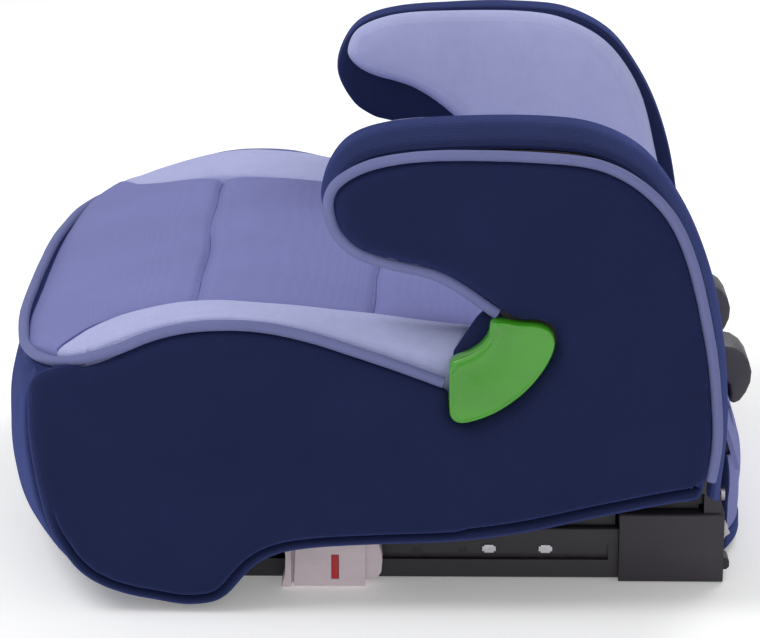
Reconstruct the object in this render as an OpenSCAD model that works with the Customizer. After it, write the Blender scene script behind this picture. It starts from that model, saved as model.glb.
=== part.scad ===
// Backless child booster seat with two sliding anchor connectors.
// Millimetres. The child faces -Y, +X is the child's left, +Z is up.
// The origin is on the floor, under the middle of the seat.

/* [Body] */
// Width over the padded side panels
body_w = 420; // [410:2:430]
// Width of the centre seat panel between its two seams
panel_w = 296; // [280:2:300]
// How far the front bulges forward in the middle of the seat
front_bulge = 31; // [20:1:36]
// Thickness of one padded armrest
arm_t = 60; // [54:1:62]

/* [Padding] */
// Thickness of the quilted seat panel
pad_t = 10; // [8:1:12]
// Thickness of the seat foam under it
foam_t = 17; // [14:1:18]
// Thickness of the padded side panels
side_pad_t = 9; // [7:1:9]
// Diameter of the piping cord sewn in the seams
piping_d = 6; // [5:0.5:6.5]

/* [Anchor connectors] */
// Distance between the two connectors, centre to centre
anchor_pitch = 280; // [278:1:282]
// How far the connectors slide out to the rear
arm_travel = 110; // [60:5:115]
// Diameter of the anchor bar that a connector grips
bar_d = 6; // [5.5:0.1:6.5]
// Number of locking notches in each rail
notch_count = 4; // [2:1:5]

/* [Hidden] */

$fn = 32;
half_w = body_w / 2;
seam_x = panel_w / 2;
fit = 0.5;                        // gap between neighbouring pieces
wall = 3;                         // wall of the moulded plastic pieces
panel_x = half_w - side_pad_t;    // inner face of the side panels
frame_x = panel_x - fit;          // outer face of the armrest mouldings
lining_x = half_w - arm_t;        // inner face of the armrests
rim_x = lining_x + 7.5;           // inner edge of the armrest mouldings
shell_x = half_w - 13;            // outer face of the shell's side walls
flank_x = lining_x - 1;           // outer face of the shell between the armrests
arm_y = 58;                       // the shell is narrow behind this, to seat the armrests
gusset_t = 6.5;
deck_drop = pad_t + foam_t + 1;   // from the seat surface down to the shell's deck
cord_r = piping_d / 2;
cord_x = frame_x + cord_r + 0.4;   // middle of the piping along the side seams

// Anchor connector: one rail section, seen from the rear
rail_x = anchor_pitch / 2;
rail_w = 28;
rail_lo = 1;
rail_hi = 31;
rail_wall = 2.5;
rail_front = -103.5;
rail_screw_ys = [-94, 60];
rail_back = 137;
housing_back = 196;
housing_w = 36;
housing_hi = 41;
slot_lo = 12;
slot_hi = 15.5;
tube_w = 21;
tube_lo = 5;
tube_hi = 27;
tube_front = -60;
tube_back = 160;
jaw_z = 18;                       // height of the anchor bar
bar_y = 189.5;                    // where the bar sits when gripped, connectors stowed
hook_y = 180.5;
hook_z = 26.5;
rod_z = (slot_lo + slot_hi) / 2;
rod_r = 1.6;
spring_front = 61;
spring_back = 95;
grip_front = -53;
grip_back = 3.5;
grip_x = half_w - 40;             // outer face of the grip
notch_pitch = 25.7;
rivet_ys = [63.7, 95.6];
cross_y = 100;                    // tube that ties the two rails together
cross_end = rail_x - rail_w / 2 + rail_wall - 0.2;
hook_xs = 67;                     // middle of each backrest hook
hook_w = 34;

// ---------- Curves ----------

// Point between p1 and p2 on a Catmull-Rom curve
function spline_point(p0, p1, p2, p3, t) =
    0.5 * (2 * p1 + (p2 - p0) * t + (2 * p0 - 5 * p1 + 4 * p2 - p3) * t * t
        + (3 * p1 - p0 - 3 * p2 + p3) * t * t * t);

// Smooth closed curve through the points, with steps points for each span
function smooth_loop(pts, steps) = let (n = len(pts)) [
    for (i = [0 : n - 1], s = [0 : steps - 1])
        spline_point(pts[(i + n - 1) % n], pts[i], pts[(i + 1) % n], pts[(i + 2) % n], s / steps)];

// Smooth open curve through the points
function smooth_line(pts, steps) = let (n = len(pts)) [
    for (i = [0 : n - 2], s = [0 : steps - (i == n - 2 ? 0 : 1)])
        spline_point(pts[max(i - 1, 0)], pts[i], pts[i + 1], pts[min(i + 2, n - 1)], s / steps)];

// Unit normal to the right of the step from p to q
function right_of(p, q) = [q[1] - p[1], p[0] - q[0]] / norm(q - p);

// Point b of the run a, b, c, moved d to the right so that both steps stay parallel
function mitre(a, b, c, d) = let (m = right_of(a, b), n = right_of(b, c)) b + d * (m + n) / (1 + m * n);

// Closed clockwise curve (Y to the right, Z up) moved inwards by d
function inset(pts, d) = let (n = len(pts))
    [for (i = [0 : n - 1]) mitre(pts[(i + n - 1) % n], pts[i], pts[(i + 1) % n], d)];

// Open curve moved d to its right
function offset_line(pts, d) = let (n = len(pts)) [for (i = [0 : n - 1])
    i == 0 ? pts[0] + d * right_of(pts[0], pts[1])
        : i == n - 1 ? pts[i] + d * right_of(pts[i - 1], pts[i])
        : mitre(pts[i - 1], pts[i], pts[i + 1], d)];

// n + 1 values from a to b
function spread(a, b, n) = [for (i = [0 : n]) a + (b - a) * i / n];

function shifted(pts, dy, dz) = [for (p = pts) [p[0] + dy, p[1] + dz]];
function reversed(pts) = [for (i = [len(pts) - 1 : -1 : 0]) pts[i]];

// Height of an open curve at y
function height_at(pts, y) = lookup(y, pts);

// ---------- Outlines in the side plane, as [y, z] ----------

// Armrest at its fullest, clockwise from the crotch of the belt path
arm_outline = concat(smooth_line([
    [62, 98], [62, 136], [60, 164], [43, 183.5], [20, 193], [-5, 199], [-20, 210], [-29, 231], [-20, 254],
    [0, 265.5], [40, 270], [90, 270.4], [122, 265.5], [148, 250], [169, 220], [182, 187], [189.5, 152],
    [193.5, 110], [192, 78]], 3), [[190, 58], [62, 58]]);

// Armrest lining on the side that faces the child
lining_outline = smooth_loop([
    [64, 176], [46, 198], [20, 217], [-8, 226], [-21, 235], [-24, 245], [-16, 259], [8, 268],
    [45, 270.5], [92, 270], [120, 264], [146, 248], [166, 218], [177, 178], [182, 150], [181, 125],
    [150, 112], [90, 116], [68, 128], [64, 150]], 3);

// Seam round the outside of the armrest, from the belt guide's tip to the rear bottom corner
arm_seam = smooth_line([
    [64, 168.6], [55, 175], [43, 183.5], [29, 190.5], [8, 195.4], [-9, 201], [-18, 207.5], [-25, 217],
    [-28, 230], [-26, 240], [-19, 248], [-3, 256], [22, 260.5], [54, 261.4], [92, 260], [119.5, 256.4],
    [141, 246], [158, 230], [168.5, 211.5], [176, 189], [182, 163], [186, 140], [189, 107], [188, 88],
    [186, 76]], 2);

// Seam along the side of the seat, from the front corner back to the belt guide
seat_seam = smooth_line([
    [-184.5, 137.5], [-172, 143.4], [-160, 145.9], [-150, 148.6], [-137.5, 154], [-118, 161.7], [-95, 166.4],
    [-65, 166.4], [-36, 160.8], [-9, 151.8], [14, 143.8], [31, 137.2]], 2);

// Hem of the side panel, from the rear bottom corner forward, down to the front foot and up
hem_line = smooth_line([
    [182, 61], [149, 54.4], [116, 47.3], [83, 39.8], [48, 34.8], [13.5, 33], [-10, 32], [-31, 30.6],
    [-50, 27.5], [-62, 21.5], [-70, 13], [-77.5, 4.5], [-88, -1.4], [-105, -3.1], [-122, -0.4], [-139, 3],
    [-154, 8.6], [-166, 16.5], [-175, 27], [-184, 43], [-188.8, 59], [-192.3, 77], [-194.8, 96],
    [-195.3, 113], [-192.8, 126]], 2);

// Notch that the belt guide sits in, down its front edge and round its lower side
guide_notch = [[45.8, 131.2], [45.6, 119.6], [46.8, 117], [50.2, 116.6], [62.8, 121.8], [74, 129.4], [82.3, 138.4],
    [88.7, 148], [91.6, 155], [90.8, 159.8], [87, 161.8], [76, 162.4]];

side_outline = concat(hem_line, seat_seam, guide_notch, arm_seam);

// Top of the seat along the middle, front to rear
seat_line = [[-201, 134], [-190, 141.5], [-175, 147.5], [-155, 153.5], [-134, 158.5], [-115, 161.5],
    [-96, 162.5], [-75, 162], [-41, 159.5], [2, 154.5], [53, 147], [110, 139.5], [160, 135], [186, 132]];

// Seat bolster, front to rear: crest, seam with the seat panel, and outer edge, as [y, z]
bolster_crest = [[-170, 149.5], [-165, 151.8], [-157, 156], [-149, 160], [-130.5, 167],
    [-112, 171.5], [-93, 173], [-72, 172], [-39, 169], [2, 164.5], [30, 160.5], [56, 157]];
bolster_outer = [[-170, 141.5], [-165, 142.8], [-149, 149.5], [-130, 158],
    [-112, 163.5], [-93, 166], [-65, 166], [-37, 161], [-10, 152], [13, 144], [39, 134], [56, 129]];

// Plan of the bolster's outer edge, as [y, x]
bolster_plan = [[-172, 190.6], [-169, 192.4], [-165, 194.8], [-153, 198.4], [-138, 200], [60, frame_x]];

// Seam between the seat panel and the bolster where it flares out to the front corner, as [x, y]
corner_seam = [[seam_x + 1, -112], [152.5, -136], [156.5, -146], [165, -158], [174.5, -164], [186, -170]];

// Front of the seat at its sides, top to bottom
front_line = [[-184, 132], [-188, 122], [-189, 110], [-188.5, 94], [-186, 77], [-182, 60], [-176, 45],
    [-168, 32], [-157, 21], [-144, 13], [-128, 8]];

// How much of the front's bulge is reached at height z
bulge_share = [[8, 1], [13, 1.45], [25, 1.6], [50, 1.32], [72, 1.12], [91, 0.97], [106, 0.82], [132, 0.62]];

// Front and underside of the shell, clockwise from the deck's front edge down to the rear
shell_front = [[-172, 110], [-180, 103], [-181.5, 90], [-180, 75], [-176, 58], [-170, 44], [-161, 33],
    [-150, 24], [-136, 17], [-120, 12]];

// Belt guide, clockwise from its upper tip
guide_outline = smooth_loop([
    [63.5, 168.6], [76, 167], [88, 166.2], [95, 162.5], [96.5, 155], [93, 145.5], [86, 135], [77, 125.8],
    [65, 117.5], [53, 112.7], [45, 111.8], [40.8, 115.5], [40, 123], [40, 134], [40.4, 144],
    [43.5, 147.6], [50.5, 150.3], [57, 155], [61, 161]], 3);

// Backrest hook: a thick arched tongue that opens downwards, clockwise
hook_outline = [[184.4, 66], [184.4, 114.5], [187, 117], [200, 117.6], [206, 116.5], [211.2, 113],
    [214.8, 108], [216.5, 102], [216, 95.5], [213.6, 89.5], [210.3, 84.6], [206.8, 82.6], [203.8, 84.2],
    [204.4, 89], [203.6, 94], [200.4, 97.6], [196, 98.6], [192, 96.8], [189.8, 92.5], [189.4, 66]];

// ---------- Solids ----------

// Side-plane outline made solid between two X planes
module slab(pts, x0, x1) {
    rotate([90, 0, 90]) translate([0, 0, x0]) linear_extrude(x1 - x0) polygon(pts);
}

// Padded piece in the side plane: a rolled rim, whose edges are [x, inset] pairs from the plain face to the
// rounded one, and a flat field inside it
module pillow(pts, edges) {
    base_x = edges[0][0];
    top = edges[len(edges) - 1];
    rings = concat([for (e = edges) [for (p = inset(pts, e[1])) [e[0], p[0], p[1]]]],
        [[for (p = inset(pts, top[1])) [base_x, p[0], p[1]]]]);
    ordered = top[0] > base_x ? reversed(rings) : rings;
    ring_loft([for (i = [0 : len(pts) - 1]) [for (r = ordered) r[i]]]);
    slab(inset(pts, top[1] + 0.03), min(base_x, top[0]), max(base_x, top[0]));
}

module both_sides() {
    children();
    mirror([1, 0, 0]) children();
}

module box(lo, hi) {
    translate(lo) cube(hi - lo);
}

// Cylinder along X
module rod_x(x0, x1, y, z, r) {
    translate([x0, y, z]) rotate([0, 90, 0]) cylinder(h = x1 - x0, r = r);
}

// Solid through sections of 2m points each: m along one side, and m back along the other
module loft(sections) {
    n = len(sections[0]);
    last = (len(sections) - 1) * n;
    polyhedron(
        points = [for (s = sections, p = s) p],
        faces = concat(
            [for (i = [0 : n / 2 - 2]) [n - 1 - i, n - 2 - i, i + 1, i]],
            [for (k = [0 : len(sections) - 2], i = [0 : n - 1]) let (a = k * n + i, b = k * n + (i + 1) % n)
                [a, b, a + n]],
            [for (k = [0 : len(sections) - 2], i = [0 : n - 1]) let (a = k * n + i, b = k * n + (i + 1) % n)
                [b, b + n, a + n]],
            [for (i = [0 : n / 2 - 2]) [last + i, last + i + 1, last + n - 2 - i, last + n - 1 - i]]),
        convexity = 6);
}

// Closed ring through the sections
module ring_loft(sections) {
    n = len(sections[0]);
    m = len(sections);
    polyhedron(
        points = [for (s = sections, p = s) p],
        faces = concat(
            [for (k = [0 : m - 1], i = [0 : n - 1]) let (j = (k + 1) % m) [k * n + i, k * n + (i + 1) % n, j * n + i]],
            [for (k = [0 : m - 1], i = [0 : n - 1]) let (j = (k + 1) % m, b = (i + 1) % n)
                [k * n + b, j * n + b, j * n + i]]),
        convexity = 6);
}

// Round cord of radius r along a path, with the section kept upright against the helper direction up
function tube_sections(path, r, sides, up) = let (n = len(path)) [
    for (i = [0 : n - 1]) let (
        t = path[min(i + 1, n - 1)] - path[max(i - 1, 0)],
        a = cross(t, up) / norm(cross(t, up)),
        b = cross(a, t) / norm(t))
        [for (k = [0 : sides - 1]) path[i] + r * (cos(360 * k / sides) * a + sin(360 * k / sides) * b)]];

// ---------- Shell ----------

deck_line = shifted([for (p = seat_line) if (p[0] > -172 && p[0] < 185) p], 0, -deck_drop);

// The shell's outline in the side plane: deck, rear wall, lower edge with the front foot
function shell_outline() = concat(
    [[-172, height_at(seat_line, -172) - deck_drop]], deck_line,
    [[184, height_at(seat_line, 184) - deck_drop], [184, 44], [-44, 47], [-60, 42], [-71, 33],
        [-79, 22], [-86, 14], [-96, 10], [-108, 9.5]],
    reversed([for (p = shell_front) if (p[1] < 109) p]));

// The hollow under it
function shell_hollow() = concat(
    [[-170, height_at(seat_line, -172) - deck_drop - wall]], shifted(deck_line, 0, -wall),
    [[181, height_at(seat_line, 181) - deck_drop - wall], [181, -20], [-104, -20], [-104, 14]],
    reversed(shifted([for (p = shell_front) if (p[1] < 109) p], wall, 1.5)));

// Plan of the shell, wide in front of arm_y and narrow between the armrests
module shell_plan(out) {
    corner = 26;
    w = shell_x - out;
    translate([0, 0, -30]) linear_extrude(200) union() {
        translate([-w, -182 + corner]) square([2 * w, arm_y - out + 182 - corner]);
        translate([-w + corner, -183]) square([2 * (w - corner), 60]);
        translate([-flank_x + out, -100]) square([2 * (flank_x - out), 300]);
        for (s = [-1, 1]) translate([s * (w - corner), -182 + out + corner]) circle(r = corner, $fn = 48);
    }
}

module shell_solid() {
    intersection() {
        slab(shell_outline(), -shell_x, shell_x);
        shell_plan(0);
    }
}

module seat_shell() {
    color([0.09, 0.09, 0.1]) difference() {
        union() {
            difference() {
                shell_solid();
                intersection() {
                    slab(shell_hollow(), -shell_x, shell_x);
                    shell_plan(wall);
                }
            }
            intersection() {
                slab(concat([[-172, 118]], deck_line, [[184, 60], [184, rail_hi + 0.3], [-155, rail_hi + 0.3],
                    [-168, 50], [-178, 100]]), -shell_x, shell_x);
                union() {
                    both_sides() {
                        // beams that stand on the rails and on the rear housings
                        for (x = [rail_x - 10, rail_x + 5])
                            box([x, -150, rail_hi + 0.3], [x + 4, 182, 140]);
                        // bosses for the rail screws
                        for (y = rail_screw_ys)
                            translate([rail_x - 21, y, rail_hi + 0.3]) cylinder(h = 100, r = 6);
                    }
                    // stiffening ribs under the deck
                    for (y = [-60, 40]) box([1 - shell_x, y, 98], [shell_x - 1, y + wall, 140]);
                    box([-1.5, -150, 98], [1.5, 182, 140]);
                }
            }
            // upstand behind the seat foam
            box([-flank_x, 181, 90], [flank_x, 184, 120]);
        }
        both_sides() {
            // the beams step up over the rear housings
            box([rail_x - 20, rail_back - 2, 20], [rail_x + 20, 190, housing_hi + 0.5]);
            // pilot holes for the housing, rail and armrest screws
            translate([rail_x, 170, 47.5]) rotate([-90, 0, 0]) cylinder(h = 30, r = 2);
            for (y = rail_screw_ys)
                translate([rail_x - 21, y, rail_hi - 1]) cylinder(h = 20, r = 2);
            for (p = arm_screw_places) rod_x(flank_x - 10, flank_x + 4, p[0], p[1], 2.2);
        }
    }
}

// ---------- Seat padding and cover ----------

// A sheet that follows the seat line, from the depth top below it down to the depth bottom
function seat_sheet(top, bottom, y0, y1) = let (
    inner = [for (p = seat_line) if (p[0] > y0 && p[0] < y1) p],
    line = concat([[y0, height_at(seat_line, y0)]], inner, [[y1, height_at(seat_line, y1)]]))
    concat(shifted(line, 0, -top), reversed(shifted(line, 0, -bottom)));

module seat_foam() {
    color([0.85, 0.85, 0.82])
        slab(seat_sheet(pad_t + fit, pad_t + fit + foam_t, -170, 180), -seam_x, seam_x);
}

// How far the front edge stands forward of its corners at x
function bulge_at(x) = front_bulge * (1 - pow(abs(x) / half_w, 2));

// The seat surface sinks where the quilting is sewn across it
quilt_ys = [-102, -1, 100];
function quilt_drop(y) = max([for (q = quilt_ys) 2.2 * exp(-pow((y - q) / 5, 2))]);
quilt_grid = concat(spread(-201, -112, 8), [-107, -104.5, -102, -99.5, -97], spread(-91, -11, 7),
    [-6, -3.5, -1, 1.5, 4], spread(10, 90, 7), [95, 97.5, 100, 102.5, 105], spread(111, 186, 6));

// Section of the seat's middle panel at x through the points ys, thinner by trim above and below
function panel_section(x, ys, trim = 0) = let (
    side = min(1, pow(abs(x) / seam_x, 6)),
    top = [for (y = ys) [y, height_at(seat_line, y) - quilt_drop(y) * (1 - side) - side - trim]])
    concat([for (p = top) [x, p[0], p[1]]],
        [for (p = reversed(top)) [x, p[0], height_at(seat_line, p[0]) - pad_t + trim]]);

module centre_panel() {
    color([0.5, 0.49, 0.7]) {
        loft([for (x = spread(-seam_x, seam_x, 10))
            let (front = cord_front(x) + cord_r + 0.8)
            panel_section(x, [for (y = quilt_grid) max(y, front + 0.02 * (y + 201))])]);
        // the front corners flare out to the ends of the front piping
        both_sides() loft([for (x = concat([seam_x - 2], [for (p = corner_seam) p[0]]))
            let (front = cord_front(x) + cord_r + 0.8 + 0.06 * max(0, x - 170),
                back = lookup(x, corner_seam))
            panel_section(x, [for (t = [0 : 0.1 : 1]) front + (back - front) * t], 0.3)]);
    }
}

// The front piping in plan
function cord_front(x) = lookup(abs(x), [[0, -205.5], [75, -204.5], [120, -200.5], [150, -196],
    [172, -188.5], [188, -179], [196, -170]]);

module front_pad() {
    outer = [for (p = reversed(smooth_line(front_line, 2))) if (p[1] < 128) p];
    inner = smooth_line(reversed([for (p = shell_front) if (p[1] < 109) [p[0] - 0.7, p[1] - 0.5]]), 2);
    side = frame_x - fit;
    xs = [184, 172, 160, seam_x + 1, seam_x - 1, 120, 90, 60, 30];
    color([0.13, 0.15, 0.33]) loft([for (x = concat([-side, -194], -xs, [0], reversed(xs), [194, side]))
        let (b = bulge_at(x), lip = cord_front(x) - cord_r + 5.5, middle = abs(x) < seam_x)
        concat(
            [for (p = outer) [x, p[0] - b * lookup(p[1], bulge_share), p[1]]],
            [[x, -184 - b * 0.62, 133.2], [x, max(lip, -202), 133.2],
                [x, max(lip + 0.2, -201.8), middle ? 123 : 122.6],
                [x, -172.7, middle ? 135 : 122], [x, -172.8, 119]],
            [for (p = reversed(inner)) [x, p[0], p[1]]])]);
}

module rear_flap() {
    outer = smooth_line([[191.2, 131.5], [193.6, 126], [194.4, 112], [197, 95], [203, 78], [208, 60], [209.5, 44],
        [208, 28], [205.5, 14], [204.5, 6]], 2);
    sheet = concat(outer, reversed(shifted(outer, -4.5, 0)));
    color([0.5, 0.49, 0.7]) difference() {
        union() {
            intersection() {
                slab(sheet, -seam_x, seam_x);
                box([-seam_x, 180, 64], [seam_x, 220, 140]);
            }
            slab(sheet, -rail_x + housing_w / 2 + 5, rail_x - housing_w / 2 - 5);
        }
        // slots that the backrest hooks come out of
        both_sides() box([hook_xs - hook_w / 2 - 2, 180, 69], [hook_xs + hook_w / 2 + 2, 220, 120]);
    }
}

// Path of the seat piping on the left side, from the belt guide forward to the middle of the front
cord_side = concat(
    [for (p = [[37, 132.2], [12, 141.6], [-10, 149.3], [-37, 158], [-65, 163.5], [-95, 163.5], [-119, 158.7],
        [-138, 151]]) [cord_x, p[0], p[1]]],
    [[cord_x - 1.5, -153, 145.8], [cord_x - 5, -165, 142.3], [cord_x - 10, -174, 140.4]],
    [for (x = [184, 172, 150, 120, 90, 60, 30]) [x, cord_front(x), 136.6 + 2.7 * pow(x / 184, 6)]],
    [[0, cord_front(0), 136.6]]);

module seat_piping() {
    left = smooth_line(cord_side, 3);
    path = concat(left, [for (i = [len(left) - 2 : -1 : 0]) [-left[i][0], left[i][1], left[i][2]]]);
    color([0.56, 0.56, 0.76]) loft(tube_sections(path, cord_r, 10, [0, 0.1, 1]));
}

module bolster() {
    rise = [[0.75, 0.97], [0.55, 1], [0.35, 0.82], [0.15, 0.45], [0, 0]];
    color([0.68, 0.68, 0.87]) loft([for (c = smooth_line(bolster_crest, 2))
        let (y = c[0], x0 = lookup(y, [for (p = reversed(corner_seam)) [p[1], p[0]]]) + fit,
            x1 = lookup(y, bolster_plan) - fit,
            z0 = height_at(seat_line, y) - 2,
            z1 = height_at(bolster_outer, y),
            base = height_at(seat_line, y) - deck_drop + fit,
            top = concat([[x1, z1 - 2], [x0 + 0.9 * (x1 - x0), c[1] - 0.45 * (c[1] - z1)]],
                [for (r = rise) [x0 + r[0] * (x1 - x0), z0 + r[1] * (c[1] - z0)]]))
        concat([for (p = top) [p[0], y, p[1]]], [for (p = reversed(top)) [p[0], y, base]])]);
}

// ---------- Armrests ----------

arm_screw_places = [[88, 80], [128, 84], [166, 86]];

frame_inset = gusset_t + 3.5;
guide_screw_places = [[86, 156], [79, 137]];

module arm_frame() {
    color([0.12, 0.12, 0.13]) difference() {
        union() {
            difference() {
                slab(inset(arm_outline, frame_inset), rim_x, frame_x);
                slab(inset(arm_outline, frame_inset + wall), rim_x - 1, frame_x - wall);
            }
            // posts that the screws from the shell go into
            for (p = arm_screw_places) rod_x(flank_x + 0.3, frame_x - 1, p[0], p[1], 6);
        }
        for (p = arm_screw_places) rod_x(flank_x - 1, flank_x + 24, p[0], p[1], 2.1);
        for (p = guide_screw_places) rod_x(frame_x - 5, frame_x + 1, p[0], p[1], 2.1);
    }
}

module arm_core() {
    color([0.8, 0.8, 0.78]) difference() {
        intersection() {
            slab(inset(arm_outline, frame_inset + wall + fit), rim_x + 0.2, frame_x - wall - fit);
            box([0, -60, 100], [half_w, 220, 300]);
        }
        for (p = guide_screw_places) rod_x(frame_x - 8, frame_x, p[0], p[1], 5);
    }
}

// Boxing strip round the armrest, open at the bottom: fullest on the child's side, lower at the outer seam.
// The same cover goes on over the armrest's inner face.
gusset_edges = [[frame_x, 7.4], [frame_x - 5, 4.8], [frame_x - 12, 2.4], [rim_x + 20, 0], [rim_x + 3, 0],
    [rim_x, 1.2], [rim_x, frame_inset - 0.6], [frame_x, frame_inset - 0.6]];
face_t = 2;                       // cover on the armrest's inner face, under the lining

module arm_gusset() {
    rows = [for (e = gusset_edges) [for (p = inset(arm_outline, e[1])) [e[0], p[0], p[1]]]];
    color([0.13, 0.15, 0.33]) {
        loft([for (i = [0 : len(arm_outline) - 2]) [for (r = rows) r[i]]]);
        intersection() {
            slab(inset(arm_outline, 1.6), rim_x - fit / 2 - face_t, rim_x - fit / 2);
            box([0, -60, 118], [half_w, 220, 300]);
        }
    }
}

module arm_lining() {
    color([0.62, 0.62, 0.82]) pillow(lining_outline, [[rim_x - fit - face_t, 0], [lining_x + 3, 0.2],
        [lining_x + 1.2, 1.4], [lining_x, 4]]);
}

module arm_piping() {
    path = [for (p = offset_line(arm_seam, cord_r)) [cord_x, p[0], p[1]]];
    color([0.56, 0.56, 0.76]) loft(tube_sections(path, cord_r, 10, [1, 0, 0]));
}

module side_panel() {
    color([0.13, 0.15, 0.33]) pillow(side_outline, [[panel_x, piping_d + 0.4], [panel_x + 5, piping_d + 0.4],
        [panel_x + 7.4, piping_d + 1.6], [half_w, piping_d + 5]]);
}

module belt_guide() {
    face_x = half_w + 2.5;
    color([0.33, 0.62, 0.27]) difference() {
        union() {
            slab(guide_outline, face_x - 3, face_x);
            difference() {
                slab(guide_outline, panel_x + fit, face_x - 1);
                slab(inset(guide_outline, 2.5), panel_x - 1, face_x - 3);
            }
            for (p = guide_screw_places) rod_x(panel_x + fit, face_x - 1, p[0], p[1], 4);
        }
        for (p = guide_screw_places) rod_x(panel_x - 5, panel_x + 8, p[0], p[1], 1.85);
    }
}

module guide_screws() {
    color([0.7, 0.7, 0.72]) for (p = guide_screw_places) screw_x(frame_x - wall - 0.2, p[0], p[1], 1.8, 9, 4);
}

// Screw along +X with its head at x
module screw_x(x, y, z, shaft_r, length, head_r) {
    rod_x(x - 3, x, y, z, head_r);
    rod_x(x - 0.5, x + length, y, z, shaft_r);
}

module arm_screws() {
    color([0.7, 0.7, 0.72]) {
        for (p = arm_screw_places) screw_x(rail_x + 4.9, p[0], p[1], 2, 25, 4.5);
    }
}

// ---------- Anchor connectors ----------

// Rounded rectangle in the plane seen from the rear, made solid between two Y planes
module bar_y(lo, hi, y0, y1, r) {
    translate([0, y1, 0]) rotate([90, 0, 0]) linear_extrude(y1 - y0) union() {
        translate([lo[0] + r, lo[1]]) square([hi[0] - lo[0] - 2 * r, hi[1] - lo[1]]);
        translate([lo[0], lo[1] + r]) square([hi[0] - lo[0], hi[1] - lo[1] - 2 * r]);
        for (x = [lo[0] + r, hi[0] - r], z = [lo[1] + r, hi[1] - r])
            translate([x, z]) circle(r = r, $fn = 24);
    }
}

module rivet_heads(grow, x0, x1) {
    for (y = rivet_ys) translate([x0, y, 18.4]) rotate([90, 0, 90])
        linear_extrude(x1 - x0) union() {
            square([5.2 + 2 * grow, 4.6 + 2 * grow], center = true);
            square([7.6 + 2 * grow, 2.8 + 2 * grow], center = true);
        }
}

module anchor_rail() {
    side = rail_x + rail_w / 2;
    color([0.15, 0.15, 0.16]) difference() {
        union() {
            bar_y([rail_x - rail_w / 2, rail_lo], [side, rail_hi], rail_front, rail_back - 0.2, 1.5);
            // lugs for the screws up into the shell
            for (y = rail_screw_ys) box([rail_x - 28, y - 7, rail_hi - 3], [rail_x - rail_w / 2 + 1, y + 7, rail_hi]);
        }
        bar_y([rail_x - rail_w / 2 + rail_wall, rail_lo + rail_wall], [side - rail_wall, rail_hi - rail_wall],
            rail_front + rail_wall, rail_back + 1, 1);
        // slot for the grip, with its locking notches
        box([side - rail_wall - 1, -66, slot_lo], [side + 1, 131, slot_hi]);
        for (i = [0 : notch_count - 1]) translate([side - rail_wall - 1, 20.5 - 2 * notch_pitch + i * notch_pitch, slot_hi - 0.1])
            cube([rail_wall + 2, 5, 3.3]);
        // shallow track above the slot
        box([side - 1.2, -66, slot_hi - 0.1], [side + 1, 131, 21.6]);
        rivet_heads(0.05, side - rail_wall - 1, side + 1);
        for (y = rail_screw_ys) translate([rail_x - 21, y, rail_hi - 5]) cylinder(h = 10, r = 2.4);
        rod_x(0, rail_x - rail_w / 2 + rail_wall + 0.5, cross_y, 16, 8.06);
    }
}

module rail_rivets() {
    side = rail_x + rail_w / 2;
    color([0.72, 0.7, 0.72]) rivet_heads(0, side - rail_wall + 0.2, side + 0.1);
}

module rail_screws() {
    color([0.7, 0.7, 0.72]) {
        for (y = rail_screw_ys) translate([rail_x - 21, y, rail_hi - 3 - 3]) {
            cylinder(h = 2.9, r = 4.4);
            cylinder(h = 20, r = 1.9);
        }
        translate([rail_x, 197.2, 47.5]) rotate([90, 0, 0]) {
            cylinder(h = 2.9, r = 4.2);
            cylinder(h = 20, r = 1.9);
        }
    }
}

module rear_housing() {
    x0 = rail_x - housing_w / 2;
    x1 = rail_x + housing_w / 2;
    color([0.16, 0.15, 0.17]) difference() {
        union() {
            bar_y([x0, 0], [x1, housing_hi], rail_back, housing_back, 2);
            // lug behind the shell's rear wall
            box([x0 + 2, 184.4, housing_hi - 2], [x1 - 2, 194, 53]);
        }
        bar_y([x0 + 4, 3], [x1 - 4, housing_hi - 3], rail_back + 4, housing_back + 1, 1);
        bar_y([rail_x - rail_w / 2 + rail_wall, rail_lo + rail_wall],
            [rail_x + rail_w / 2 - rail_wall, rail_hi - rail_wall], rail_back - 1, rail_back + 5, 1);
        translate([rail_x, 200, 47.5]) rotate([90, 0, 0]) cylinder(h = 30, r = 2.2);
    }
}

module cross_tube() {
    color([0.6, 0.6, 0.62]) difference() {
        rod_x(-cross_end, cross_end, cross_y, 16, 8);
        rod_x(-rail_x, rail_x, cross_y, 16, 6.5);
    }
}

module anchor_arm() {
    x0 = rail_x - tube_w / 2;
    x1 = rail_x + tube_w / 2;
    color([0.55, 0.55, 0.58]) difference() {
        bar_y([x0, tube_lo], [x1, tube_hi], tube_front, tube_back, 1.5);
        difference() {
            bar_y([x0 + 2, tube_lo + 2], [x1 - 2, tube_hi - 2], tube_front - 1, tube_back + 1, 1);
            // stop that the release spring pushes against
            box([x0, spring_front - 3, tube_lo], [x1, spring_front - 0.2, tube_hi]);
        }
        translate([rail_x, 30, rod_z]) rotate([-90, 0, 0]) cylinder(h = 60, r = rod_r + 0.5);
        // side slot for the grip's tongue
        box([x1 - 3, -57, slot_lo - 1], [x1 + 1, -8, slot_hi + 1]);
    }
}

// One jaw plate in the side plane, with the mouth for the anchor bar open to the rear
bar_gap = bar_d / 2 + 0.4;
jaw_outline = concat(
    [[145, 8], [145, 24], [162, 24.6], [169, 33.4], [192, 33.4], [198, 30], [200.5, 25.5], [198, jaw_z + 5.5]],
    [for (a = [90 : 15 : 270]) [bar_y + bar_gap * cos(a), jaw_z + bar_gap * sin(a)]],
    [[194, jaw_z - 4.2], [194, 5], [185, 4.6], [168, 7.4]]);

module anchor_jaws() {
    color([0.75, 0.75, 0.77]) difference() {
        for (x = [rail_x - 6, rail_x + 3.5]) slab(jaw_outline, x, x + 2.5);
        rod_x(rail_x - 8, rail_x + 8, hook_y, hook_z, 2.55);
    }
}

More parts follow.
